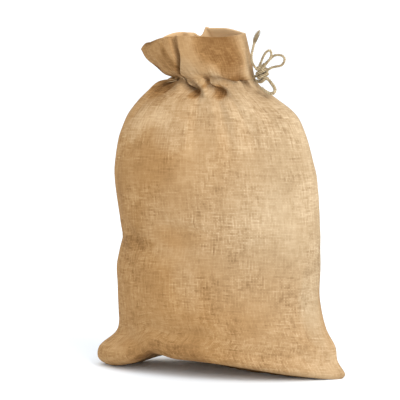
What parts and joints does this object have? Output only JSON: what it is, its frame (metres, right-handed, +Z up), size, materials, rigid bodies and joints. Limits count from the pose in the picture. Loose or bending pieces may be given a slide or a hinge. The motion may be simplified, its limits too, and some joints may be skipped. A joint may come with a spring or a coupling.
{
  "type": "hessian sack",
  "caption": "Standing hessian sack with a gathered neck, a flared open collar and a drawstring tied in a small bow at the side",
  "frame": {"origin": "On the flat of the base that the sack rests on, under the middle of the body", "axes": "+Z up, the front faces -Y, +X is the side where the drawstring comes out of the neck"},
  "size_m": [0.3329, 0.1533, 0.4473],
  "materials": {
    "hessian": "coarse plain weave jute cloth, matte, golden brown",
    "jute_twine": "twisted natural jute twine, matte, slightly hairy"
  },
  "bodies": {
    "root": {"sack": "hessian", "drawstring_knot": "jute_twine", "drawstring_round_neck": "jute_twine", "drawstring_loop_round": "jute_twine", "drawstring_loop_upright": "jute_twine", "drawstring_tail_up": "jute_twine", "drawstring_tail_curled": "jute_twine"}
  },
  "joints": []
}
